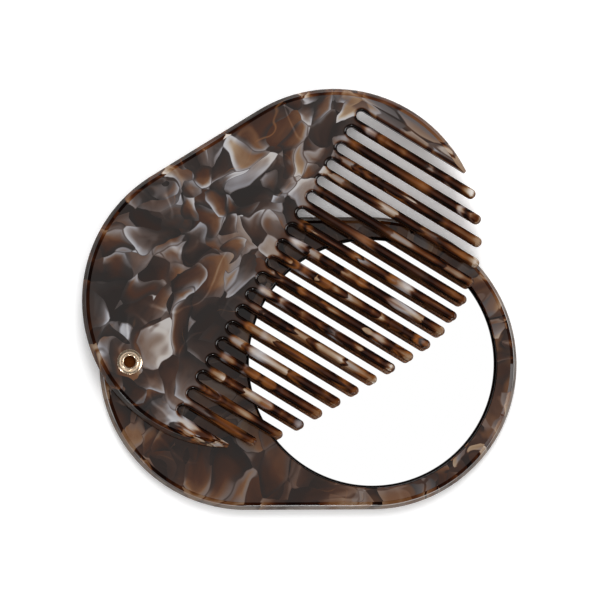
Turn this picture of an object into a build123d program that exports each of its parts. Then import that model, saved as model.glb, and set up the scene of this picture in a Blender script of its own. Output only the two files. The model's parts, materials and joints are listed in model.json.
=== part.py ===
from build123d import *
import math
import os

# Both plates share one outline, long sides between two full rounds, and swivel on one rivet
plate_length = 90.0
plate_width = 63.0
plate_thickness = 3.0
rivet_inset = 6.3
open_angle = 31.7

# Polished outer edge of a plate, from its flat top down to its underside
bevel_width = 0.8
bevel_depth = 0.5
flank_width = 0.75
flank_depth = 1.2
foot_width = 0.5
foot_height = 0.6
edge_round = 0.9

# Slots and teeth of the comb
slot_width = 2.05
tooth_pitch = 4.12
tooth_slant = 63.1
root_setback = 8.5
tooth_round = 0.9
tooth_round_share = 0.45
guard_width = 5.0
guard_tip_radius = 0.5
guard_waste_share = 4.0
stub_length = 3.0

# Round mirror, glued into a pocket in the lower plate
mirror_rim = 4.6
mirror_gap = 0.1
mirror_recess = 1.2
recess_round = 0.25
glass_thickness = 1.0
glass_bevel = 0.15
coating_thickness = 0.05
adhesive_thickness = 0.15
adhesive_margin = 1.5

# Semi-tubular rivet with its head in the back and its lip rolled over a domed washer
shank_diameter = 3.1
rivet_bore = 2.5
rivet_bore_depth = 4.0
head_diameter = 5.6
head_thickness = 0.6
head_round = 0.2
head_sink = 0.1
head_clearance = 0.2
lip_diameter = 3.8
lip_rise = 0.1
running_clearance = 0.05
washer_diameter = 5.3
washer_thickness = 0.45
washer_edge = 0.2
lip_margin = 0.05

# Slip washer between the plates
spacer_diameter = 9.0
spacer_thickness = 0.3

cut_overrun = 1.0

end_radius = plate_width / 2
side_length = plate_length - plate_width
rivet_x = end_radius - plate_length + rivet_inset
tooth_width = tooth_pitch - slot_width
crown_radius = min(tooth_round, tooth_round_share * tooth_width)
mirror_radius = end_radius - mirror_rim - mirror_gap
shank_radius = shank_diameter / 2
rivet_hole_radius = shank_radius + running_clearance
comb_bottom = plate_thickness + spacer_thickness
comb_top = comb_bottom + plate_thickness
washer_top = comb_top + washer_thickness

# Slots are counted to both sides of the one that points at the round end's centre
heel_drop = side_length * math.sin(math.radians(tooth_slant))
end_room = end_radius - guard_width - slot_width / 2
slots_before = math.floor(end_room / tooth_pitch)
slots_after = math.floor((heel_drop + end_room) / tooth_pitch)
first_slot = slots_before * tooth_pitch
last_slot = -slots_after * tooth_pitch


def edge_section(reach):
    # Half section of a plate, from an upright line out to its shaped edge
    flank_top = plate_thickness - bevel_depth
    section = make_face(
        Polyline(
            (0, 0),
            (reach - foot_width, 0),
            (reach, foot_height),
            (reach, flank_top - flank_depth),
            (reach - flank_width, flank_top),
            (reach - flank_width - bevel_width, plate_thickness),
            (0, plate_thickness),
            close=True,
        )
    )
    ridges = section.vertices().filter_by(lambda v: 0 < v.Y < plate_thickness)
    return Plane.XZ * fillet(ridges, edge_round)


def plate_blank():
    # A round end about the origin, two long sides, and the other round end at the rivet
    section = edge_section(end_radius)
    half = revolve(section, Axis.Z, 180) + extrude(section, side_length)
    return Rot(0, 0, -90) * half + Pos(-side_length, 0) * Rot(0, 0, 90) * half


def slot_section():
    # Half section of one slot: straight walls that flare into rounded tooth edges
    wall = slot_width / 2
    flare = wall + crown_radius
    upper = plate_thickness - crown_radius
    over = plate_thickness + cut_overrun
    lines = [
        Line((0, -cut_overrun), (flare, -cut_overrun)),
        Line((flare, -cut_overrun), (flare, 0)),
        CenterArc((flare, crown_radius), crown_radius, 270, -90),
        Line((wall, crown_radius), (wall, upper)),
        CenterArc((flare, upper), crown_radius, 180, -90),
        Line((flare, plate_thickness), (flare, over)),
        Line((flare, over), (0, over)),
        Line((0, over), (0, -cut_overrun)),
    ]
    return Plane.XZ * make_face(lines)


def slot_cutter():
    # One slot, from its round root at the origin out along +X
    section = slot_section()
    length = plate_width
    root = Rot(0, 0, 90) * revolve(section, Axis.Z, 180)
    left = Rot(0, 0, 90) * extrude(section, length)
    right = Pos(length, 0) * Rot(0, 0, -90) * extrude(section, length)
    return root + left + right


def outline_reach(offset, inset):
    # How far a line along the teeth, this far off the middle one, runs to the inset outline
    slant = math.radians(tooth_slant)
    along_x, along_y = math.cos(slant), -math.sin(slant)
    start_x, start_y = offset * math.sin(slant), offset * math.cos(slant)
    radius = end_radius - inset
    if abs(offset) < radius:
        reach = math.sqrt(radius**2 - offset**2)
        if start_x + reach * along_x >= 0:
            return reach
    reach = (-radius - start_y) / along_y
    if start_x + reach * along_x >= -side_length:
        return reach
    from_heel = start_x + side_length
    ahead = from_heel * along_x + start_y * along_y
    return math.sqrt(ahead**2 + radius**2 - from_heel**2 - start_y**2) - ahead


def tooth(offset):
    # A tooth beyond its stub, with a round tip that touches the plate's outline
    half = tooth_width / 2
    start = stub_length - root_setback
    tip = outline_reach(offset, half)
    shape = Pos((start + tip) / 2, 0) * SlotCenterToCenter(tip - start, tooth_width)
    bar = extrude(shape, plate_thickness)
    rims = bar.edges().group_by(Axis.Z)
    bar = fillet(rims[0] + rims[-1], crown_radius)
    return Pos(0, offset) * split(bar, Plane.YZ.offset(start), keep=Keep.TOP)


def guard_trim(slot_edge, side, arc_centre):
    # What comes off a pointed end tooth, so that its tip is round and not sharp
    radius = guard_tip_radius
    across = slot_edge + side * radius
    centre = Vector(outline_reach(across, radius), across)
    on_slot = centre - Vector(0, side * radius)
    on_outline = centre + (centre - arc_centre).normalized() * radius
    chord = on_outline - on_slot
    beyond = Vector(chord.Y, -chord.X) * side * guard_waste_share
    corners = [on_slot, on_outline, on_outline + beyond, on_slot + beyond]
    waste = make_face(Polyline(*corners, close=True)) - Pos(centre.X, centre.Y) * Circle(radius)
    return Pos(0, 0, -cut_overrun) * extrude(waste, plate_thickness + 2 * cut_overrun)


def comb_plate():
    # Teeth are made along +X, then turned to their slant across the plate
    comb = Rot(0, 0, tooth_slant) * (plate_blank() - rivet_hole())
    cutter = slot_cutter()
    for number in range(-slots_after, slots_before + 1):
        comb -= Pos(-root_setback, number * tooth_pitch) * cutter
    height = plate_thickness + 2 * cut_overrun
    field = extrude(Rectangle(plate_length, first_slot - last_slot), height)
    middle = stub_length - root_setback + plate_length / 2
    comb -= Pos(middle, (first_slot + last_slot) / 2, -cut_overrun) * field
    for number in range(-slots_after, slots_before):
        comb += tooth((number + 1 / 2) * tooth_pitch)
    heel_centre = Vector(-side_length, 0).rotate(Axis.Z, tooth_slant)
    comb -= guard_trim(first_slot + slot_width / 2, 1, Vector(0, 0))
    comb -= guard_trim(last_slot - slot_width / 2, -1, heel_centre)
    comb = Rot(0, 0, -tooth_slant) * comb
    swing = Pos(rivet_x, 0) * Rot(0, 0, open_angle) * Pos(-rivet_x, 0)
    return Pos(0, 0, comb_bottom) * swing * comb


def rivet_hole():
    height = plate_thickness + 2 * cut_overrun
    return Pos(rivet_x, 0, plate_thickness / 2) * Cylinder(rivet_hole_radius, height)


def disc(radius, bottom, thickness):
    return Pos(0, 0, bottom) * extrude(Circle(radius), thickness)


def pocket_floor():
    stack = glass_thickness + coating_thickness + adhesive_thickness
    return plate_thickness - mirror_recess - stack


def mirror_plate():
    floor = pocket_floor()
    depth = plate_thickness - floor
    plate = plate_blank() - disc(mirror_radius + mirror_gap, floor, depth + cut_overrun)
    rim = plate.edges().filter_by(GeomType.CIRCLE).group_by(Axis.Z)[-1]
    rim = rim.filter_by(lambda e: math.isclose(e.radius, mirror_radius + mirror_gap))
    plate = fillet(rim, recess_round)
    head_seat = disc(head_diameter / 2 + head_clearance, -cut_overrun, cut_overrun + head_top())
    return plate - rivet_hole() - Pos(rivet_x, 0) * head_seat


def mirror_glass():
    bottom = pocket_floor() + adhesive_thickness + coating_thickness
    glass = disc(mirror_radius, bottom, glass_thickness)
    return chamfer(glass.edges().group_by(Axis.Z)[-1], glass_bevel)


def mirror_coating():
    return disc(mirror_radius, pocket_floor() + adhesive_thickness, coating_thickness)


def mirror_adhesive():
    return disc(mirror_radius - adhesive_margin, pocket_floor(), adhesive_thickness)


def head_top():
    return head_sink + head_thickness


def pivot_rivet():
    # Flat head below, shank through both plates, hollow end rolled outwards at the top
    head_radius, lip_radius, bore_radius = head_diameter / 2, lip_diameter / 2, rivet_bore / 2
    lip_base = washer_top + lip_rise
    crown = lip_base + (lip_radius - bore_radius) / 2
    bore_floor = crown - rivet_bore_depth
    lines = [
        Polyline(
            (bore_radius, lip_base),
            (bore_radius, bore_floor),
            (0, bore_floor),
            (0, head_sink),
            (head_radius - head_round, head_sink),
            (head_radius, head_sink + head_round),
            (head_radius, head_top()),
            (shank_radius, head_top()),
            (shank_radius, washer_top),
            (lip_radius, washer_top),
            (lip_radius, lip_base),
        ),
        ThreePointArc(
            (lip_radius, lip_base),
            ((lip_radius + bore_radius) / 2, crown),
            (bore_radius, lip_base),
        ),
    ]
    return Pos(rivet_x, 0) * revolve(Plane.XZ * make_face(lines), Axis.Z)


def rivet_washer():
    # Domed washer: flat where the rolled lip bears on it, then falling to a thin edge
    seat_radius = lip_diameter / 2 + lip_margin
    rim = (washer_diameter / 2, comb_top + washer_edge)
    lines = [
        Polyline(
            (seat_radius, washer_top),
            (rivet_hole_radius, washer_top),
            (rivet_hole_radius, comb_top),
            (washer_diameter / 2, comb_top),
            rim,
        ),
        TangentArc((seat_radius, washer_top), rim, tangent=(1, 0)),
    ]
    return Pos(rivet_x, 0) * revolve(Plane.XZ * make_face(lines), Axis.Z)


def spacer_washer():
    ring = Circle(spacer_diameter / 2) - Circle(rivet_hole_radius)
    return Pos(rivet_x, 0, plate_thickness) * extrude(ring, spacer_thickness)


pieces = {
    "mirror_plate": mirror_plate,
    "mirror_adhesive": mirror_adhesive,
    "mirror_coating": mirror_coating,
    "mirror_glass": mirror_glass,
    "spacer_washer": spacer_washer,
    "comb_plate": comb_plate,
    "rivet_washer": rivet_washer,
    "pivot_rivet": pivot_rivet,
}

os.makedirs("parts", exist_ok=True)
for name, make in pieces.items():
    export_step(make(), f"parts/{name}.step")
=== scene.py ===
import json
import math

import bpy
from mathutils import Matrix, Vector


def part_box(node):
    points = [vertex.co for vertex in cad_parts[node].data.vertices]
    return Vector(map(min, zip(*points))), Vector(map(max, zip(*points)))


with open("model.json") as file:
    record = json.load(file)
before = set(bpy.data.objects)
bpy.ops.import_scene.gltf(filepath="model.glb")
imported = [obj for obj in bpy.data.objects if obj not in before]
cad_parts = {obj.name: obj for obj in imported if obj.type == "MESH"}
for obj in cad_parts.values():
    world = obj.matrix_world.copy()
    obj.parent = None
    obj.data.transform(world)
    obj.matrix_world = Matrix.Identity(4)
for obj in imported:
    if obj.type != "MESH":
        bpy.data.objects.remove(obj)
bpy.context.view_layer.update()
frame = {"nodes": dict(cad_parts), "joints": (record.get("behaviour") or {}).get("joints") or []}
nodes = frame["nodes"]
mm = 0.001
print("frame loaded:", len(nodes), "nodes")


# node tree helpers

def newMaterial(name):
    mat = bpy.data.materials.new(name)
    mat.use_nodes = True
    mat.node_tree.nodes.clear()
    return mat, mat.node_tree


def addNode(tree, kind, **settings):
    node = tree.nodes.new(kind)
    for key, value in settings.items():
        setattr(node, key, value)
    return node


def plug(tree, value, socket):  # a link, or a plain value on the socket
    if isinstance(value, bpy.types.NodeSocket):
        tree.links.new(value, socket)
    elif isinstance(value, tuple) and len(value) == 3 and socket.type == "RGBA":
        socket.default_value = (*value, 1)
    else:
        socket.default_value = value


def maths(tree, operation, a, b=0.0, c=0.0, clamp=False):
    node = addNode(tree, "ShaderNodeMath", operation=operation, use_clamp=clamp)
    for value, socket in zip((a, b, c), node.inputs):
        plug(tree, value, socket)
    return node.outputs[0]


def product(tree, *values):
    result = values[0]
    for value in values[1:]:
        result = maths(tree, "MULTIPLY", result, value)
    return result


def swing(tree, value, strength, base):  # moves a base up and down with a noise
    return maths(tree, "MULTIPLY_ADD", maths(tree, "SUBTRACT", value, 0.5), strength, base)


def vectorMaths(tree, operation, a, b=(0, 0, 0)):
    node = addNode(tree, "ShaderNodeVectorMath", operation=operation)
    plug(tree, a, node.inputs[0])
    plug(tree, b, node.inputs["Scale" if operation == "SCALE" else 1])
    return node.outputs["Value" if operation in ("DOT_PRODUCT", "LENGTH") else "Vector"]


def remap(tree, value, low, high, toLow=0.0, toHigh=1.0, smooth=True):
    kind = "SMOOTHSTEP" if smooth else "LINEAR"
    node = addNode(tree, "ShaderNodeMapRange", interpolation_type=kind, clamp=True)
    for item, socket in zip((value, low, high, toLow, toHigh), node.inputs):
        plug(tree, item, socket)
    return node.outputs[0]


def blendValue(tree, factor, a, b):
    node = addNode(tree, "ShaderNodeMix", data_type="FLOAT")
    plug(tree, factor, node.inputs[0])
    plug(tree, a, node.inputs[2])
    plug(tree, b, node.inputs[3])
    return node.outputs[0]


def blendColour(tree, factor, a, b):
    node = addNode(tree, "ShaderNodeMix", data_type="RGBA")
    plug(tree, factor, node.inputs[0])
    plug(tree, a, node.inputs[6])
    plug(tree, b, node.inputs[7])
    return node.outputs[2]


def ramp(tree, factor, stops):
    node = addNode(tree, "ShaderNodeValToRGB")
    elements = node.color_ramp.elements
    while len(elements) < len(stops):
        elements.new(0.5)
    for element, (place, colour) in zip(elements, stops):
        element.position = place
        element.color = (*colour, 1)
    plug(tree, factor, node.inputs[0])
    return node.outputs[0]


def splitVector(tree, vector):
    node = addNode(tree, "ShaderNodeSeparateXYZ")
    plug(tree, vector, node.inputs[0])
    return node.outputs


def joinVector(tree, x=0.0, y=0.0, z=0.0):
    node = addNode(tree, "ShaderNodeCombineXYZ")
    for value, socket in zip((x, y, z), node.inputs):
        plug(tree, value, socket)
    return node.outputs[0]


def noise(tree, place, scale, detail=2.0, distortion=0.0):
    node = addNode(tree, "ShaderNodeTexNoise")
    plug(tree, place, node.inputs["Vector"])
    plug(tree, scale, node.inputs["Scale"])
    plug(tree, detail, node.inputs["Detail"])
    plug(tree, distortion, node.inputs["Distortion"])
    return node.outputs


def patches(tree, place, scale, low, high, toLow=0.0, toHigh=1.0, detail=2.0):  # soft spots of a noise
    return remap(tree, noise(tree, place, scale, detail)["Fac"], low, high, toLow, toHigh)


def principled(tree, **values):
    node = addNode(tree, "ShaderNodeBsdfPrincipled")
    for key, value in values.items():
        plug(tree, value, node.inputs[key.replace("_", " ")])
    return node


def finishTree(tree, shader):
    output = addNode(tree, "ShaderNodeOutputMaterial")
    tree.links.new(shader, output.inputs["Surface"])


def newGroup(name, inputs, outputs):  # an input of None is a vector, others are numbers
    group = bpy.data.node_groups.new(name, "ShaderNodeTree")
    for label, value in inputs.items():
        kind = "NodeSocketVector" if value is None else "NodeSocketFloat"
        socket = group.interface.new_socket(label, in_out="INPUT", socket_type=kind)
        if value is not None:
            socket.default_value = value
    for label in outputs:
        group.interface.new_socket(label, in_out="OUTPUT", socket_type="NodeSocketFloat")
    given = addNode(group, "NodeGroupInput").outputs
    made = addNode(group, "NodeGroupOutput").inputs
    return group, given, made


def useGroup(tree, group, **values):
    node = addNode(tree, "ShaderNodeGroup")
    node.node_tree = group
    for key, value in values.items():
        plug(tree, value, node.inputs[key])
    return node.outputs


def dress(node, mat):
    mesh = nodes[node].data
    mesh.materials.clear()
    mesh.materials.append(mat)


def wayFrom(tilt, towards):  # degrees off the upright, and round from +X
    tilt, towards = math.radians(tilt), math.radians(towards)
    return Vector((math.sin(tilt) * math.cos(towards), math.sin(tilt) * math.sin(towards), math.cos(tilt)))


# camera

cameraView = {
    "target": Vector((-15.45, 13.44, 3.0)) * mm,
    "distance": 900 * mm,
    "tilt": 6.19,      # degrees off the upright
    "towards": 222.8,  # degrees round from +X
    "roll": -0.37,
    "lens": 251.5,     # focal length and sensor in millimetres
    "sensor": 36,
}


def placeCamera(c):
    back = wayFrom(c["tilt"], c["towards"])
    across = Vector((0, 1, 0)).cross(back).normalized()
    up = back.cross(across)
    roll = math.radians(c["roll"])
    acrossTurned = across * math.cos(roll) + up * math.sin(roll)
    upTurned = up * math.cos(roll) - across * math.sin(roll)
    data = bpy.data.cameras.new("camera")
    data.lens = c["lens"]
    data.sensor_width = c["sensor"]
    camera = bpy.data.objects.new("camera", data)
    bpy.context.scene.collection.objects.link(camera)
    camera.matrix_world = Matrix((acrossTurned, upTurned, back)).transposed().to_4x4()
    camera.location = c["target"] + back * c["distance"]
    bpy.context.scene.camera = camera


placeCamera(cameraView)
print("camera placed")


# studio: world, floor and lamps

studio = {
    "fill": 0.62,                    # world strength for soft light
    "backdrop": (1.0, 1.0, 1.0),     # the world as the camera, the mirror and glass show it
    "floorSize": 6.0,
    "floorDrop": 0.02 * mm,
    "floorSkin": 0.35 * mm,          # light that starts this close to the floor passes through it
    "floorColour": (0.8, 0.8, 0.8),  # as soft light bounces off it
    "floorGlow": 0.12,
    "floorShade": 0.95,              # as metal and glass show it
    "cameraShade": 1.06,             # as the camera shows it: white right up to the object's shadow
}

worldTones = {  # by height: 0 is straight below, 0.5 the horizon and 1 straight above
    "soft": [
        (0.0, (1.3, 1.3, 1.3)), (0.45, (1.0, 1.0, 1.0)), (0.5, (0.34, 0.34, 0.35)),
        (0.675, (0.45, 0.45, 0.46)), (0.925, (1.0, 1.0, 1.0)), (0.99, (1.7, 1.7, 1.7)),
    ],
    "gloss": [
        (0.5, (1.0, 1.0, 1.0)), (0.52, (0.42, 0.42, 0.42)), (0.63, (0.40, 0.40, 0.40)),
        (0.70, (0.10, 0.10, 0.10)), (0.94, (0.10, 0.10, 0.10)), (0.975, (0.45, 0.45, 0.45)),
        (0.993, (1.0, 1.0, 1.0)),
    ],
    "strip": (0.90, 0.89, 0.87),                     # a pale wall to the front right, in gloss only
    "stripWay": (0.42, -0.91, 0.0),
    "stripWidth": (0.35, 0.75),                      # how squarely a ray has to meet it
    "stripHeights": ((0.515, 0.54), (0.69, 0.65)),   # its lower and its upper edge
}


def makeWorld(s, tones):
    world = bpy.data.worlds.new("studio")
    bpy.context.scene.world = world
    world.use_nodes = True
    tree = world.node_tree
    tree.nodes.clear()
    way = addNode(tree, "ShaderNodeTexCoord").outputs["Generated"]
    height = maths(tree, "MULTIPLY_ADD", splitVector(tree, way)[2], 0.5, 0.5)
    soft = ramp(tree, height, tones["soft"])
    gloss = ramp(tree, height, tones["gloss"])
    strip = vectorMaths(tree, "DOT_PRODUCT", way, tones["stripWay"])
    strip = remap(tree, strip, *tones["stripWidth"])
    for edge in tones["stripHeights"]:
        strip = product(tree, strip, remap(tree, height, *edge))
    gloss = blendColour(tree, strip, gloss, tones["strip"])

    # the camera, the mirror and glass see it white, other gloss sees it shaded
    path = addNode(tree, "ShaderNodeLightPath")
    direct = maths(tree, "LESS_THAN", path.outputs["Diffuse Depth"], 0.5)
    glossy = product(tree, path.outputs["Is Glossy Ray"], direct)
    clear = maths(tree, "MAXIMUM", path.outputs["Is Transmission Ray"], path.outputs["Is Singular Ray"])
    clear = product(tree, clear, direct)
    seen = maths(tree, "MAXIMUM", path.outputs["Is Camera Ray"], clear)
    colour = blendColour(tree, glossy, soft, gloss)
    colour = blendColour(tree, seen, colour, s["backdrop"])
    strength = maths(tree, "MAXIMUM", seen, glossy)
    strength = remap(tree, strength, 0.0, 1.0, s["fill"], 1.0, smooth=False)
    background = addNode(tree, "ShaderNodeBackground")
    plug(tree, colour, background.inputs[0])
    plug(tree, strength, background.inputs[1])
    output = addNode(tree, "ShaderNodeOutputWorld")
    tree.links.new(background.outputs[0], output.inputs[0])


def makeFloor(s):
    bpy.ops.mesh.primitive_plane_add(size=s["floorSize"], location=(0, 0, -s["floorDrop"]))
    floor = bpy.context.object
    floor.name = "floor"
    mat, tree = newMaterial("paleFloor")
    diffuse = addNode(tree, "ShaderNodeBsdfDiffuse")
    glow = addNode(tree, "ShaderNodeEmission")
    path = addNode(tree, "ShaderNodeLightPath")
    shown = maths(tree, "MAXIMUM", path.outputs["Is Glossy Ray"], path.outputs["Is Transmission Ray"])
    seen = maths(tree, "MAXIMUM", path.outputs["Is Camera Ray"], shown)
    shade = blendValue(tree, path.outputs["Is Camera Ray"], s["floorShade"], s["cameraShade"])
    plug(tree, blendColour(tree, seen, s["floorColour"], shade), diffuse.inputs[0])
    plug(tree, product(tree, seen, s["floorGlow"]), glow.inputs[1])
    both = addNode(tree, "ShaderNodeAddShader")
    tree.links.new(diffuse.outputs[0], both.inputs[0])
    tree.links.new(glow.outputs[0], both.inputs[1])

    # from below it is clear, and so it is for light that starts right on it, under the object
    near = maths(tree, "LESS_THAN", path.outputs["Ray Length"], s["floorSkin"])
    backfacing = addNode(tree, "ShaderNodeNewGeometry").outputs["Backfacing"]
    pane = addNode(tree, "ShaderNodeMixShader")
    plug(tree, maths(tree, "MAXIMUM", near, backfacing), pane.inputs[0])
    tree.links.new(both.outputs[0], pane.inputs[1])
    tree.links.new(addNode(tree, "ShaderNodeBsdfTransparent").outputs[0], pane.inputs[2])
    finishTree(tree, pane.outputs[0])
    floor.data.materials.append(mat)


lamps = {  # degrees off the upright and round from +X, metres, watts, and what sees the lamp
    "key": {"tilt": 46, "towards": 88, "distance": 1.1, "size": 0.70, "power": 8.0, "gloss": False},
    "side": {"tilt": 66, "towards": -25, "distance": 1.0, "size": 0.3, "power": 1.2},
    "front": {"tilt": 74, "towards": -86, "distance": 1.0, "size": 0.14, "power": 1.8},
    "corner": {"tilt": 68, "towards": -140, "distance": 1.0, "size": 0.20, "power": 2.0, "soft": False},
    "sparkle": {"tilt": 62, "towards": -6, "distance": 1.0, "size": 0.45, "power": 4.5, "soft": False},
}


def makeLamp(name, lamp):
    way = wayFrom(lamp["tilt"], lamp["towards"])
    data = bpy.data.lights.new(name, "AREA")
    data.shape = "DISK"
    data.size = lamp["size"]
    data.energy = lamp["power"]
    light = bpy.data.objects.new(name, data)
    bpy.context.scene.collection.objects.link(light)
    light.location = way * lamp["distance"]
    light.rotation_euler = way.to_track_quat("Z", "Y").to_euler()
    light.visible_glossy = lamp.get("gloss", True)
    light.visible_diffuse = lamp.get("soft", True)


makeWorld(studio, worldTones)
makeFloor(studio)
for lampName, lampValues in lamps.items():
    makeLamp(lampName, lampValues)
print("studio made")


# layers that the materials share

chip = {  # lengths are shares of a chip's size, tones run from 0 to 1
    "litSide": (0.08, 0.42),    # from its middle towards its lit side
    "bright": (0.79, 0.83),     # draw from which a chip is a bright one
    "lifted": (0.3, 1.0),       # draw over which its lit rim grows
    "rim": 0.30,
    "tones": (0.30, 0.13),      # range and lowest tone
    "brightTone": 0.17,
    "slopes": (0.40, 0.26),     # rise of tone towards the lit side, in plain and in bright chips
    "litRim": 0.36,
    "brightRim": 0.10,
    "border": 0.04,             # from its edge in, where a bright chip softens to the tone below
    "borderTone": 0.41,
    "depth": (0.02, 0.26),      # from its edge in
    "heat": (0.25, 0.75),
    "heatMix": (9.7, 5.3),      # makes one more draw out of two
}


def chipGroup(c):
    # a layer of pressed chips: each cell has a tone, a slope of tone across it and one lit side
    group, given, made = newGroup(
        "pearlChips", {"Place": None, "Size": 8 * mm, "Seed": 0.0},
        ("Tone", "Depth", "Heat", "Edge", "Side", "Pick"))
    seed = joinVector(group, given["Seed"], given["Seed"], given["Seed"])
    scaled = vectorMaths(group, "SCALE", given["Place"], maths(group, "DIVIDE", 1.0, given["Size"]))
    place = vectorMaths(group, "ADD", scaled, seed)
    cells = addNode(group, "ShaderNodeTexVoronoi", feature="F1")
    edges = addNode(group, "ShaderNodeTexVoronoi", feature="DISTANCE_TO_EDGE")
    for texture in (cells, edges):
        texture.inputs["Scale"].default_value = 1.0
        plug(group, place, texture.inputs["Vector"])
    edge = edges.outputs["Distance"]

    # each chip's own draws
    draws = addNode(group, "ShaderNodeSeparateColor")
    plug(group, cells.outputs["Color"], draws.inputs[0])
    turnDraw, toneDraw, pickDraw = draws.outputs[0], draws.outputs[1], draws.outputs[2]
    toneMix, turnMix = c["heatMix"]
    heatDraw = maths(group, "MULTIPLY_ADD", toneDraw, toneMix, product(group, turnDraw, turnMix))
    heatDraw = maths(group, "FRACT", heatDraw)
    turn = product(group, turnDraw, 2 * math.pi)
    lit = joinVector(group, maths(group, "COSINE", turn), maths(group, "SINE", turn))
    local = vectorMaths(group, "SUBTRACT", place, cells.outputs["Position"])
    towardsLit = vectorMaths(group, "DOT_PRODUCT", local, lit)
    side = remap(group, towardsLit, *c["litSide"])
    bright = remap(group, toneDraw, *c["bright"])

    # its own tone, its slope and its rims, softened where it meets the next chip
    rim = remap(group, edge, 0.0, c["rim"], 1.0, 0.0)
    litRim = product(group, rim, side, remap(group, pickDraw, *c["lifted"]))
    own = maths(group, "MULTIPLY_ADD", toneDraw, *c["tones"])
    own = maths(group, "MULTIPLY_ADD", bright, c["brightTone"], own)
    tone = maths(group, "MULTIPLY_ADD", towardsLit, remap(group, bright, 0.0, 1.0, *c["slopes"]), own)
    tone = maths(group, "MULTIPLY_ADD", litRim, c["litRim"], tone)
    tone = maths(group, "MULTIPLY_ADD", product(group, rim, bright), c["brightRim"], tone)
    atBorder = maths(group, "MINIMUM", tone, c["borderTone"])
    tone = blendValue(group, remap(group, edge, 0.0, c["border"]), atBorder, tone)
    plug(group, tone, made["Tone"])
    plug(group, remap(group, edge, *c["depth"]), made["Depth"])
    plug(group, remap(group, heatDraw, *c["heat"]), made["Heat"])
    plug(group, edge, made["Edge"])
    plug(group, side, made["Side"])
    plug(group, pickDraw, made["Pick"])
    return group


def rimGroup():
    # how far in from a plate's outline a place lies, with its length along X from the rivet
    group, given, made = newGroup(
        "plateRim", {"Place": None, "Heel": 0.0, "Round": 0.0, "Radius": 0.0}, ("Rim",))
    x, y, _ = splitVector(group, given["Place"])
    middle = maths(group, "MINIMUM", maths(group, "MAXIMUM", x, given["Heel"]), given["Round"])
    off = joinVector(group, maths(group, "SUBTRACT", x, middle), y)
    plug(group, maths(group, "SUBTRACT", given["Radius"], vectorMaths(group, "LENGTH", off)), made["Rim"])
    return group


def grainGroup():
    # a fine noise, as it is for a bump and spread out between two values for a mask
    group, given, made = newGroup(
        "fineGrain", {"Place": None, "Scale": 1000.0, "Detail": 2.0, "Low": 0.3, "High": 0.7},
        ("Height", "Mask"))
    height = noise(group, given["Place"], given["Scale"], given["Detail"])["Fac"]
    plug(group, height, made["Height"])
    plug(group, remap(group, height, given["Low"], given["High"]), made["Mask"])
    return group


chips = chipGroup(chip)
plateRim = rimGroup()
fineGrain = grainGroup()


def layChips(tree, place, size, seed):
    return useGroup(tree, chips, Place=place, Size=size, Seed=seed)


# pearly acetate: pressed chips of pearl in a dark brown sheet

acetate = {
    "folds": ((38.0, 4.2 * mm), (130.0, 2.7 * mm), (380.0, 0.38 * mm)),  # noise scale and reach
    "largeChips": (8.6 * mm, 0.0),        # size and seed
    "smallChips": (5.8 * mm, 7.3),
    "smallPick": 0.52,                    # pick from which a small chip covers the large ones
    "silk": (330.0, 0.28),                # noise scale and strength
    "middle": 0.3,                        # level that the contrast leaves as it is
    "ribbons": (75.0, 0.030),             # silky folds: noise scale and half width
    "ribbonPatches": (48.0, 0.48, 0.62),  # noise scale, and the values over which they set in
    "ribbonLift": 0.20,
    "capSoftness": 0.2,
    "accentEdge": (0.02, 0.09),           # pale chips: from the edge in, where they set in
    "accentTones": (0.65, 0.36),          # share of the chip's tone, and lowest level
    "accentWarmth": (0.8, -0.45),         # on the chip's lit side, and all over it
    "heat": (0.75, 0.25),                 # range and least warmth deep in a chip
    "clouds": (90.0, 1.2),                # of warmth: noise scale and strength
    "toffeePatches": (150.0, 0.50, 0.64),  # as for the ribbons
    "toffeeLevels": (0.12, 0.60),         # full on dark places, faint on pale ones
    "toffeeLeast": 0.2,
    "lens": 1.1 * mm,                     # how far a rounded edge shifts what lies under it
    "thick": (0.05, 0.80),                # steepness over which the sheet looks deep and clear, and is painted darker
    # painted shade on steep sides
    "paintedSlopeShade": -0.30,
    "deepening": 1.3,
    "flankLight": (0.52 * mm, 0.66 * mm),      # from the outline in, where the flank's painted light ends
    "flankSlope": (0.2, 0.6),
    "flankStreaks": (260.0, 0.30, 0.62),
    "flankShares": (0.35, 0.95),          # faintest and strongest streak
    "ridgeHighlight": (0.60 * mm, 0.74 * mm, 0.88 * mm),  # the painted highlight line at its top
    "ridgeSlope": (0.3, 0.6),
    "ridgePatches": (60.0, 0.4, 0.6),
    "ridgeLeast": 0.3,
    "bevel": (1.50 * mm, 1.56 * mm),      # and where the dark bevel ends
    "bevelDepth": 0.6,
    "bevelDulling": 0.45,
    "glints": (58.0, 0.007),              # short amber lines: noise scale and half width
    "glintPatches": (170.0, 0.54, 0.70),
    "coat": 0.7,
    "coatRoughness": 0.02,
    "coatIor": 1.42,
    "roughness": 0.4,
    "ior": 1.47,
}

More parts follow.
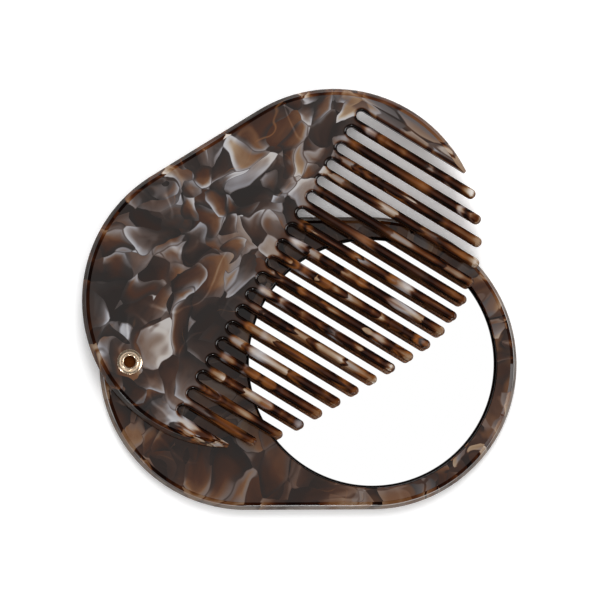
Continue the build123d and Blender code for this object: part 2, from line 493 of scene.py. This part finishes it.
chipTones = {  # linear colours from the deepest to the brightest part of a chip
    "cool": [
        (0.0, (0.008, 0.005, 0.004)), (0.3, (0.022, 0.016, 0.014)), (0.55, (0.10, 0.086, 0.085)),
        (0.78, (0.24, 0.235, 0.255)), (1.0, (0.45, 0.445, 0.46)),
    ],
    "warm": [
        (0.0, (0.014, 0.004, 0.001)), (0.25, (0.048, 0.014, 0.004)), (0.5, (0.130, 0.055, 0.022)),
        (0.75, (0.26, 0.17, 0.10)), (1.0, (0.40, 0.32, 0.235)),
    ],
    "deep": [
        (0.0, (0.003, 0.0007, 0.0003)), (0.2, (0.018, 0.0038, 0.0009)), (0.4, (0.070, 0.018, 0.004)),
        (0.55, (0.155, 0.066, 0.024)), (0.75, (0.32, 0.22, 0.14)), (1.0, (0.72, 0.68, 0.64)),
    ],
    "glint": (0.36, 0.15, 0.05),
    "amber": (0.36, 0.12, 0.026),
    "frost": (0.52, 0.52, 0.54),
    "marks": (0.105, 0.055, 0.034),
    "toffee": (0.16, 0.062, 0.020),
    # painted light on the flank
    "flankLight": (0.22, 0.185, 0.16),
    # painted light on the teeth's undersides, as if thrown back by the mirror
    "under": (0.20, 0.09, 0.045),
    # painted highlight line on the edge
    "ridgeHighlight": (0.52, 0.50, 0.48),
}

teeth = {  # places along and across them are counted from the centre of the comb's round end
    "slant": 63.1,                           # degrees from the plate's length
    "roots": (-9.0 * mm, -7.0 * mm),         # where they begin
    "lastSlot": (24.7 * mm, 25.3 * mm),      # past it the comb is patterned like the plate
    "stretch": 0.67,                         # how much longer the chips look along a tooth
    "chips": (2.5 * mm, 11.0),               # size and seed
    "chipEdge": 0.02,
    "chipFades": (0.30, 0.06),               # how far in a chip fades, on its dark and its lit side
    "chipPick": (0.02, 0.27),
    "chipLift": 0.09,
    "glows": (1.3 * mm, 17.0),               # amber streaks between the chips: size and seed
    "glowEdge": (0.0, 0.42),
    "glowPick": (0.45, 0.70),
    "glowLevel": 0.38,
    "base": 0.222,                           # level of the sheet between them
    "cap": (0.77, 0.2),                      # highest level and how softly it sets in
    "waves": (560.0, 0.40),                  # noise scale and strength
    "litTips": (2.8 * mm, 0.5 * mm),            # from the outline in, where their ends are painted pale, a painted light as if lit through
    "firstTooth": (-50.4 * mm, -49.4 * mm),  # the guard before it keeps its tone
    "paintedTipLight": 0.19,
    "drawnOut": (30.0, 1.0, 30.0),           # fine streaks: how many times longer along a tooth
    "streaks": (3200.0, 0.75),               # their noise scale and strength
    "paler": (-21.0 * mm, -10.0 * mm),       # where the sheet turns paler towards the roots
    "palerLift": 0.07,
    "rootBand": ((-12.5 * mm, -9.5 * mm), (-8.5 * mm, -5.5 * mm)),  # painted shade round the slots' ends
    "rootShade": -0.28,
    "coolEnds": 0.9,                         # how cool the lit ends of the chips stay
    "depth": 0.8,                            # how deep and clear the rest looks
    "amberLevels": (0.36, 0.70, 0.70, 0.08),  # full on dark places, faint on pale ones
    "amberSilk": (0.35, 0.62, 0.2, 1.0),
    "frostEdge": (0.10, 0.34),
    "frostTone": (0.42, 0.62),
    "frostSilk": (0.38, 0.60, 0.2, 0.85),
    "markPitch": 0.45 * mm,                  # the cutter's marks on their walls
    "markWave": (-0.6, 0.8),
    "markSlope": (0.90, 0.98),
    "markStrength": 0.6,
    "underSlope": (-0.1, 0.05, 1.0, 0.0),    # underneath, by how far the surface looks up
    # painted light under the teeth
    "paintedMirrorLight": 0.8,
    "dullSlope": (0.62, 0.92, 0.4, 1.0),     # share of the coat that is missing, crowns to walls
}

sheets = {
    "comb_plate": {
        "material": "combAcetate",
        "toothed": True,
        "turn": 31.7,                  # degrees that it stands open
        "shift": (0.631, 0.317, 0.0),  # the stretch of pattern that it is cut from
        "brightness": -0.008,
        "contrast": 1.15,
        "warmth": 0.14,
        "cap": 1.0,                    # highest level of its chips
        "bevel": 0.22,                 # how much of the edge's shade its bevel is spared
        # strength of the painted light on its flank and of the painted highlight line
        "flankLight": 0.22,
        "glint": 0.30,
        "toffee": 0.5,
        "accentChips": (4.4 * mm, 41.0),
        "accentPick": (0.34, 0.62),
        "accentsFrom": (24.7 * mm, 25.9 * mm),  # across the teeth, past the last slot
    },
    "mirror_plate": {
        "material": "mirrorAcetate",
        "toothed": False,
        "turn": 0.0,
        "shift": (0.2, 0.1, 0.0),
        "brightness": -0.09,
        "contrast": 0.95,
        "warmth": 0.50,
        "cap": 0.60,
        "bevel": 0.36,
        # strength of the painted light on its flank and of the painted highlight line
        "flankLight": 1.0,
        "glint": 0.12,
        "toffee": 0.55,
        "accentChips": (4.4 * mm, 23.0),
        "accentPick": (0.57, 0.66),
        "accentsFrom": (-20 * mm, 12 * mm),     # along X, round the mirror
    },
}

pivot = Vector(frame["joints"][0]["pos_m"])
plateLow, plateHigh = (Vector(corner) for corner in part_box("mirror_plate"))
plateRadius = (plateHigh.y - plateLow.y) / 2
heelCentre = plateLow.x + plateRadius - pivot.x  # along the plate from the rivet
roundCentre = plateHigh.x - plateRadius - pivot.x
noiseGain = 3  # a noise mostly stays within the middle third of its range


def warp(tree, place, scale, reach):
    swirl = noise(tree, place, scale, detail=0.0)["Color"]
    swirl = vectorMaths(tree, "SUBTRACT", swirl, (0.5, 0.5, 0.5))
    return vectorMaths(tree, "ADD", place, vectorMaths(tree, "SCALE", swirl, reach * noiseGain))


def crease(tree, place, scale, width):  # winding lines along one height of a noise
    height = noise(tree, place, scale, detail=1.0, distortion=0.6)["Fac"]
    off = maths(tree, "ABSOLUTE", maths(tree, "SUBTRACT", height, 0.5))
    return remap(tree, off, 0.0, width, 1.0, 0.0)


def alongPlate(tree, place, turn):  # from the rivet, with the plate's length along X
    mapping = addNode(tree, "ShaderNodeMapping", vector_type="TEXTURE")
    plug(tree, place, mapping.inputs["Vector"])
    mapping.inputs["Location"].default_value = pivot
    mapping.inputs["Rotation"].default_value = (0, 0, math.radians(turn))
    return mapping.outputs[0]


def toothPlaces(tree, sheet, spot):
    # along and across the teeth, where the chips are drawn out
    slant, turn = math.radians(teeth["slant"]), math.radians(sheet["turn"])
    fromRound = vectorMaths(tree, "SUBTRACT", spot["onPlate"], (roundCentre, 0.0, 0.0))
    along = vectorMaths(tree, "DOT_PRODUCT", fromRound, (math.cos(slant), -math.sin(slant), 0.0))
    across = vectorMaths(tree, "DOT_PRODUCT", fromRound, (math.sin(slant), math.cos(slant), 0.0))
    beforeLast = remap(tree, across, *teeth["lastSlot"], 1.0, 0.0)
    onTeeth = product(tree, remap(tree, along, *teeth["roots"]), beforeLast)
    past = maths(tree, "MAXIMUM", maths(tree, "SUBTRACT", along, teeth["roots"][0]), 0.0)
    way = (-math.cos(turn - slant), -math.sin(turn - slant), 0.0)
    drawn = vectorMaths(tree, "SCALE", way, product(tree, past, teeth["stretch"]))
    spot["seen"] = vectorMaths(tree, "ADD", spot["seen"], drawn)
    spot.update(fromRound=fromRound, along=along, across=across, onTeeth=onTeeth, drawn=drawn)


def platePlaces(tree, sheet):
    # a spot's place on the object and on its plate, and its place in the pattern of chips
    coords = addNode(tree, "ShaderNodeTexCoord")
    spot = {"object": coords.outputs["Object"], "normal": coords.outputs["Normal"]}
    slope = vectorMaths(tree, "MULTIPLY", spot["normal"], (1, 1, 0))
    steep = vectorMaths(tree, "LENGTH", slope)
    shift = vectorMaths(tree, "SCALE", slope, acetate["lens"])
    spot["seen"] = vectorMaths(tree, "SUBTRACT", spot["object"], shift)
    spot["onPlate"] = alongPlate(tree, spot["object"], sheet["turn"])
    rim = useGroup(
        tree, plateRim, Place=spot["onPlate"],
        Heel=heelCentre, Round=roundCentre, Radius=plateRadius)["Rim"]
    onBevel = remap(tree, rim, *acetate["bevel"], 1.0, 0.0)
    spot.update(steep=steep, rim=rim, onBevel=onBevel, thick=remap(tree, steep, *acetate["thick"]))
    if sheet["toothed"]:
        toothPlaces(tree, sheet, spot)
    place = vectorMaths(tree, "ADD", spot["seen"], sheet["shift"])
    for fold in acetate["folds"]:
        place = warp(tree, place, *fold)
    spot["place"] = place
    return spot


def plateLevel(tree, sheet, spot):
    # two layers of chips, the small ones over the large, with a silky sheen
    a = acetate
    large = layChips(tree, spot["place"], *a["largeChips"])
    small = layChips(tree, spot["place"], *a["smallChips"])
    over = maths(tree, "GREATER_THAN", small["Pick"], a["smallPick"])
    tone, depth, heat = (blendValue(tree, over, large[k], small[k]) for k in ("Tone", "Depth", "Heat"))
    silkScale, silkStrength = a["silk"]
    silk = noise(tree, spot["place"], silkScale)["Fac"]
    level = maths(tree, "SUBTRACT", swing(tree, silk, silkStrength, tone), a["middle"])
    level = maths(tree, "MULTIPLY_ADD", level, sheet["contrast"], a["middle"])
    level = maths(tree, "ADD", level, sheet["brightness"])
    ribbons = crease(tree, spot["seen"], *a["ribbons"])
    ribbons = product(tree, ribbons, patches(tree, spot["seen"], *a["ribbonPatches"]))
    level = maths(tree, "MULTIPLY_ADD", ribbons, a["ribbonLift"], level)
    if sheet["toothed"]:
        paler = remap(tree, spot["along"], *teeth["paler"])
        level = maths(tree, "MULTIPLY_ADD", paler, teeth["palerLift"], level)
    spot["level"] = maths(tree, "SMOOTH_MIN", level, sheet["cap"], a["capSoftness"])
    spot.update(depth=depth, heat=heat, silk=silk)


def accentLevel(tree, sheet, spot):
    # pale chips with an amber side, round the mirror and beyond the comb's last slot
    accent = layChips(tree, spot["place"], *sheet["accentChips"])
    ahead = spot["across"] if sheet["toothed"] else splitVector(tree, spot["seen"])[0]
    there = remap(tree, ahead, *sheet["accentsFrom"])
    inside = remap(tree, accent["Edge"], *acetate["accentEdge"])
    pale = product(tree, inside, remap(tree, accent["Pick"], *sheet["accentPick"]), there)
    own = maths(tree, "MULTIPLY_ADD", accent["Tone"], *acetate["accentTones"])
    spot["level"] = blendValue(tree, pale, spot["level"], own)
    spot.update(pale=pale, paleSide=accent["Side"], there=there)


def toothLevel(tree, spot):
    # lens-shaped chips over amber glows, drawn out with fine streaks along the tooth
    t = teeth
    lens = layChips(tree, spot["place"], *t["chips"])
    fade = blendValue(tree, lens["Side"], *t["chipFades"])
    shown = remap(tree, lens["Edge"], t["chipEdge"], fade)
    shown = product(tree, shown, remap(tree, lens["Pick"], *t["chipPick"]))
    shown = product(tree, shown, maths(tree, "ADD", lens["Tone"], t["chipLift"]))
    under = layChips(tree, spot["place"], *t["glows"])
    glow = remap(tree, under["Edge"], *t["glowEdge"])
    glow = product(tree, glow, remap(tree, under["Pick"], *t["glowPick"]))
    level = maths(tree, "MAXIMUM", shown, product(tree, glow, t["glowLevel"]))
    level = maths(tree, "SMOOTH_MIN", maths(tree, "ADD", level, t["base"]), *t["cap"])
    waveScale, waveStrength = t["waves"]
    drawnTwice = vectorMaths(tree, "ADD", spot["seen"], spot["drawn"])
    level = swing(tree, noise(tree, drawnTwice, waveScale, detail=1.0)["Fac"], waveStrength, level)
    # painted light: the ends of the teeth are painted paler, as if lit through
    litTips = remap(tree, spot["rim"], *t["litTips"])
    litTips = product(tree, litTips, remap(tree, spot["across"], *t["firstTooth"]))
    level = maths(tree, "MULTIPLY_ADD", litTips, t["paintedTipLight"], level)
    level = blendValue(tree, spot["onTeeth"], spot["level"], level)

    combed = addNode(tree, "ShaderNodeMapping", vector_type="TEXTURE")
    plug(tree, spot["fromRound"], combed.inputs["Vector"])
    combed.inputs["Rotation"].default_value = (0, 0, -math.radians(t["slant"]))
    combed.inputs["Scale"].default_value = t["drawnOut"]
    streakScale, streakStrength = t["streaks"]
    streaks = noise(tree, combed.outputs[0], streakScale, detail=1.0)["Fac"]
    streaks = product(tree, maths(tree, "SUBTRACT", streaks, 0.5), spot["onTeeth"], spot["thick"])
    spot["level"] = maths(tree, "MULTIPLY_ADD", streaks, streakStrength, level)
    spot.update(lens=lens, glow=glow)


def edgeLevel(tree, sheet, spot):
    # steep sides are painted darker, a painted shade that the bevel is partly spared; the bevel and the
    # teeth's round sides are clear and deep, the flats have a cool bloom
    thick = spot["thick"]
    shade = maths(tree, "MULTIPLY_ADD", spot["onBevel"], sheet["bevel"], acetate["paintedSlopeShade"])
    level = maths(tree, "ADD", spot["level"], product(tree, thick, shade))
    # painted shade on the steep walls round the ends of the slots
    if sheet["toothed"]:
        into, outOf = teeth["rootBand"]
        root = remap(tree, spot["along"], *into)
        root = product(tree, root, remap(tree, spot["along"], *outOf, 1.0, 0.0), thick)
        level = maths(tree, "MULTIPLY_ADD", root, teeth["rootShade"], level)
    thick = maths(tree, "MAXIMUM", thick, product(tree, spot["onBevel"], acetate["bevelDepth"]))
    if sheet["toothed"]:
        most, deepest = teeth["coolEnds"], teeth["depth"]
        cool = maths(tree, "MULTIPLY_ADD", spot["lens"]["Heat"], -most, most)
        cool = product(tree, spot["lens"]["Side"], cool)
        deep = maths(tree, "MULTIPLY_ADD", cool, -deepest, deepest)
        thick = maths(tree, "MAXIMUM", thick, product(tree, spot["onTeeth"], deep))
    spot.update(level=level, thick=thick)


def chipColour(tree, sheet, spot):
    # cool or warm by the chip and by soft clouds, with toffee patches, and deep where it is thick
    a = acetate
    level, pale = spot["level"], spot["pale"]
    cloudScale, cloudStrength = a["clouds"]
    sideWarmth, paleWarmth = a["accentWarmth"]
    warmth = product(tree, spot["depth"], maths(tree, "MULTIPLY_ADD", spot["heat"], *a["heat"]))
    warmth = swing(tree, noise(tree, spot["place"], cloudScale)["Fac"], cloudStrength, warmth)
    warmth = maths(tree, "ADD", warmth, sheet["warmth"], clamp=True)
    warmth = maths(tree, "MULTIPLY_ADD", product(tree, pale, spot["paleSide"]), sideWarmth, warmth)
    warmth = maths(tree, "MULTIPLY_ADD", pale, paleWarmth, warmth, clamp=True)
    cool = ramp(tree, level, chipTones["cool"])
    colour = blendColour(tree, warmth, cool, ramp(tree, level, chipTones["warm"]))
    most, least = sheet["toffee"], a["toffeeLeast"] * sheet["toffee"]
    toffee = patches(tree, spot["place"], *a["toffeePatches"], detail=1.0)
    toffee = product(tree, toffee, remap(tree, level, *a["toffeeLevels"], most, least), spot["there"])
    colour = blendColour(tree, toffee, colour, chipTones["toffee"])
    deep = maths(tree, "MULTIPLY", spot["thick"], a["deepening"], clamp=True)
    return blendColour(tree, deep, colour, ramp(tree, level, chipTones["deep"]))


def toothColour(tree, spot, colour):
    # amber streaks, frosty chips, the cutter's marks, and painted light under the teeth, as if the mirror
    # threw it back
    t = teeth
    onTeeth, silk, lens = spot["onTeeth"], spot["silk"], spot["lens"]
    amber = product(tree, spot["glow"], onTeeth, remap(tree, spot["level"], *t["amberLevels"]))
    amber = product(tree, amber, remap(tree, silk, *t["amberSilk"]))
    colour = blendColour(tree, amber, colour, chipTones["amber"])
    frost = remap(tree, lens["Edge"], *t["frostEdge"])
    frost = product(tree, frost, remap(tree, lens["Tone"], *t["frostTone"]))
    frost = product(tree, frost, product(tree, onTeeth, remap(tree, silk, *t["frostSilk"])))
    colour = blendColour(tree, frost, colour, chipTones["frost"])
    phase = product(tree, spot["along"], 2 * math.pi / t["markPitch"])
    marks = remap(tree, maths(tree, "SINE", phase), *t["markWave"])
    marks = product(tree, marks, remap(tree, spot["steep"], *t["markSlope"]), onTeeth, t["markStrength"])
    colour = blendColour(tree, marks, colour, chipTones["marks"])
    # painted light: the undersides of the teeth are painted brown, as if lit from the mirror below
    under = remap(tree, splitVector(tree, spot["normal"])[2], *t["underSlope"])
    under = product(tree, under, onTeeth, t["paintedMirrorLight"])
    return blendColour(tree, under, colour, chipTones["under"])


def edgeColour(tree, sheet, spot, colour):
    # painted light: the polished flank is painted pale in streaks, as if the floor's light came through it,
    # with a painted highlight line on top
    a, rim, steep, strength = acetate, spot["rim"], spot["steep"], sheet["flankLight"]
    least, most = (share * strength for share in a["flankShares"])
    streaks = patches(tree, spot["object"], *a["flankStreaks"], least, most, detail=3.0)
    flankLight = product(tree, remap(tree, rim, *a["flankLight"], 1.0, 0.0), remap(tree, steep, *a["flankSlope"]))
    flankLight = product(tree, flankLight, streaks)
    colour = blendColour(tree, flankLight, colour, chipTones["flankLight"])
    # a painted highlight line along the top of the flank
    low, middle, high = a["ridgeHighlight"]
    breaks = patches(tree, spot["onPlate"], *a["ridgePatches"], a["ridgeLeast"] * strength, strength)
    ridgeHighlight = product(tree, remap(tree, rim, low, middle), remap(tree, rim, middle, high, 1.0, 0.0))
    ridgeHighlight = product(tree, ridgeHighlight, remap(tree, steep, *a["ridgeSlope"]), breaks)
    return blendColour(tree, ridgeHighlight, colour, chipTones["ridgeHighlight"])


def glintColour(tree, sheet, spot, colour):
    glints = crease(tree, spot["place"], *acetate["glints"])
    glints = product(tree, glints, patches(tree, spot["place"], *acetate["glintPatches"]), sheet["glint"])
    return blendColour(tree, glints, colour, chipTones["glint"])


def coatWeight(tree, sheet, spot):
    # the bevel shines less, and the walls between the teeth are left as the cutter made them
    coat = acetate["coat"]
    if sheet["toothed"]:
        dull = product(tree, spot["onTeeth"], remap(tree, spot["steep"], *teeth["dullSlope"]))
        coat = maths(tree, "MULTIPLY_ADD", dull, -coat, coat)
    return product(tree, coat, maths(tree, "MULTIPLY_ADD", spot["onBevel"], -acetate["bevelDulling"], 1.0))


def acetateMaterial(sheet):
    mat, tree = newMaterial(sheet["material"])
    spot = platePlaces(tree, sheet)  # all that the steps below find out about a spot goes in here
    plateLevel(tree, sheet, spot)
    accentLevel(tree, sheet, spot)
    if sheet["toothed"]:
        toothLevel(tree, spot)
    edgeLevel(tree, sheet, spot)
    colour = chipColour(tree, sheet, spot)
    if sheet["toothed"]:
        colour = toothColour(tree, spot, colour)
    colour = edgeColour(tree, sheet, spot, colour)
    colour = glintColour(tree, sheet, spot, colour)
    shader = principled(
        tree, Base_Color=colour, Roughness=acetate["roughness"], IOR=acetate["ior"], Specular_IOR_Level=0.0,
        Coat_Weight=coatWeight(tree, sheet, spot), Coat_Roughness=acetate["coatRoughness"],
        Coat_IOR=acetate["coatIor"])
    finishTree(tree, shader.outputs[0])
    return mat


for sheetNode, sheetValues in sheets.items():
    dress(sheetNode, acetateMaterial(sheetValues))
print("acetate made")


# mirror: glass silvered behind, stuck down with a film

mirror = {
    "glassColour": (1.0, 1.0, 1.0),
    "groundEdge": (0.42 * mm, 0.34 * mm),  # from the rim in, the ground edge of the glass, painted near black as the shade in the gap round the mirror
    "groundShadeColours": ((0.010, 0.008, 0.007), (0.035, 0.030, 0.028)),
    "groundRoughness": (0.25, 0.5),
    "gritScale": 9000.0,
    "silverColours": ((0.90, 0.90, 0.89), (0.96, 0.96, 0.96)),
    "silverScale": 900.0,
    "silverRoughness": 0.08,
    "filmColours": ((0.72, 0.71, 0.67), (0.84, 0.83, 0.80)),
    "filmRoughness": 0.75,
    "fibreScale": 5200.0,
    "fibreStretch": (1.0, 0.12, 1.0),      # the fibres of the film run along Y
    "fibreHeight": 0.02 * mm,
}

glassLow, glassHigh = (Vector(corner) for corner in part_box("mirror_glass"))
glassRadius = (glassHigh.x - glassLow.x) / 2


def objectCoords(tree):
    return addNode(tree, "ShaderNodeTexCoord").outputs["Object"]


def fromAxis(tree, place):  # how far a place lies from the upright line through the origin
    x, y, _ = splitVector(tree, place)
    return vectorMaths(tree, "LENGTH", joinVector(tree, x, y))


def bump(tree, height, distance):
    node = addNode(tree, "ShaderNodeBump")
    node.inputs["Distance"].default_value = distance
    plug(tree, height, node.inputs["Height"])
    return node.outputs[0]


def silverMaterial(m):
    mat, tree = newMaterial("mirrorSilver")
    cloud = useGroup(tree, fineGrain, Place=objectCoords(tree), Scale=m["silverScale"], Detail=3.0)
    colour = blendColour(tree, cloud["Mask"], *m["silverColours"])
    shader = principled(tree, Base_Color=colour, Metallic=1.0, Roughness=m["silverRoughness"])
    finishTree(tree, shader.outputs[0])
    return mat


def glassMaterial(m):  # glass and silver in one surface; its ground edge is painted dark, a painted shade of the gap round the mirror
    mat, tree = newMaterial("silveredGlass")
    place = objectCoords(tree)
    inFromRim = maths(tree, "SUBTRACT", glassRadius, fromAxis(tree, place))
    ground = remap(tree, inFromRim, *m["groundEdge"])
    grit = useGroup(tree, fineGrain, Place=place, Scale=m["gritScale"])
    # painted shade: the ground edge is near black, as the gap round the mirror is in shade
    edge = blendColour(tree, grit["Mask"], *m["groundShadeColours"])
    colour = blendColour(tree, ground, m["glassColour"], edge)
    roughness = product(tree, ground, blendValue(tree, grit["Mask"], *m["groundRoughness"]))
    shader = principled(tree, Base_Color=colour, Metallic=1.0, Roughness=roughness)
    finishTree(tree, shader.outputs[0])
    return mat


def filmMaterial(m):
    mat, tree = newMaterial("adhesiveFilm")
    stretched = vectorMaths(tree, "MULTIPLY", objectCoords(tree), m["fibreStretch"])
    fibres = useGroup(
        tree, fineGrain, Place=stretched, Scale=m["fibreScale"], Detail=4.0, Low=0.35, High=0.65)
    colour = blendColour(tree, fibres["Mask"], *m["filmColours"])
    normal = bump(tree, fibres["Height"], m["fibreHeight"])
    shader = principled(tree, Base_Color=colour, Roughness=m["filmRoughness"], Normal=normal)
    finishTree(tree, shader.outputs[0])
    return mat


dress("mirror_coating", silverMaterial(mirror))
dress("mirror_glass", glassMaterial(mirror))
dress("mirror_adhesive", filmMaterial(mirror))
print("mirror made")


# rivet, its washer and the slip washer

brass = {
    "pale": (0.97, 0.80, 0.62),
    "rich": (0.90, 0.65, 0.43),
    "wearScale": 2600.0,
    "roughness": (0.22, 0.32),
    # painted shade in the rivet's bore: dark orange-brown, for the light that dies between its brass walls
    "paintedBoreShade": (0.34, 0.11, 0.026),
    "boreRoughness": 0.3,
    "boreRadius": (1.29 * mm, 1.32 * mm),
    "boreMouth": (0.10 * mm, 0.55 * mm),  # below the lip's top, where the painted shade in the bore sets in
    "boreFloor": (4.1 * mm, 4.4 * mm),    # and where it ends, at the bottom of the bore
}

nylon = {
    "milky": (0.80, 0.79, 0.74),
    "clear": (0.68, 0.67, 0.61),
    "cloudScale": 1400.0,
    "roughness": (0.3, 0.7, 0.32, 0.45),  # from cloud values to roughness
    "grainScale": 12000.0,
    "grainHeight": 0.01 * mm,
    "ior": 1.53,
}


def brassMaterial(b):
    mat, tree = newMaterial("polishedBrass")
    place = objectCoords(tree)
    wear = useGroup(tree, fineGrain, Place=place, Scale=b["wearScale"], Detail=3.0)
    colour = blendColour(tree, wear["Mask"], b["rich"], b["pale"])
    fromPivot = vectorMaths(tree, "SUBTRACT", place, tuple(pivot))
    lipTop = Vector(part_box("pivot_rivet")[1]).z - pivot.z
    down = maths(tree, "SUBTRACT", lipTop, splitVector(tree, fromPivot)[2])
    # painted shade inside the bore, with a rougher surface there
    inside = remap(tree, fromAxis(tree, fromPivot), *b["boreRadius"], 1.0, 0.0)
    inside = product(tree, inside, remap(tree, down, *b["boreMouth"]))
    inside = product(tree, inside, remap(tree, down, *b["boreFloor"], 1.0, 0.0))
    colour = blendColour(tree, inside, colour, b["paintedBoreShade"])
    roughness = blendValue(tree, wear["Mask"], *b["roughness"])
    roughness = maths(tree, "MULTIPLY_ADD", inside, b["boreRoughness"], roughness)
    shader = principled(tree, Base_Color=colour, Metallic=1.0, Roughness=roughness)
    finishTree(tree, shader.outputs[0])
    return mat


def nylonMaterial(n):
    mat, tree = newMaterial("clearNylon")
    place = objectCoords(tree)
    cloud = useGroup(
        tree, fineGrain, Place=place, Scale=n["cloudScale"], Detail=3.0, Low=0.35, High=0.65)
    colour = blendColour(tree, cloud["Mask"], n["clear"], n["milky"])
    grain = useGroup(tree, fineGrain, Place=place, Scale=n["grainScale"])
    normal = bump(tree, grain["Height"], n["grainHeight"])
    roughness = remap(tree, cloud["Height"], *n["roughness"])
    shader = principled(tree, Base_Color=colour, Roughness=roughness, IOR=n["ior"], Normal=normal)
    finishTree(tree, shader.outputs[0])
    return mat


polishedBrass = brassMaterial(brass)
dress("pivot_rivet", polishedBrass)
dress("rivet_washer", polishedBrass)
dress("spacer_washer", nylonMaterial(nylon))
print("hardware made")

bpy.context.scene.view_settings.view_transform = "Standard"
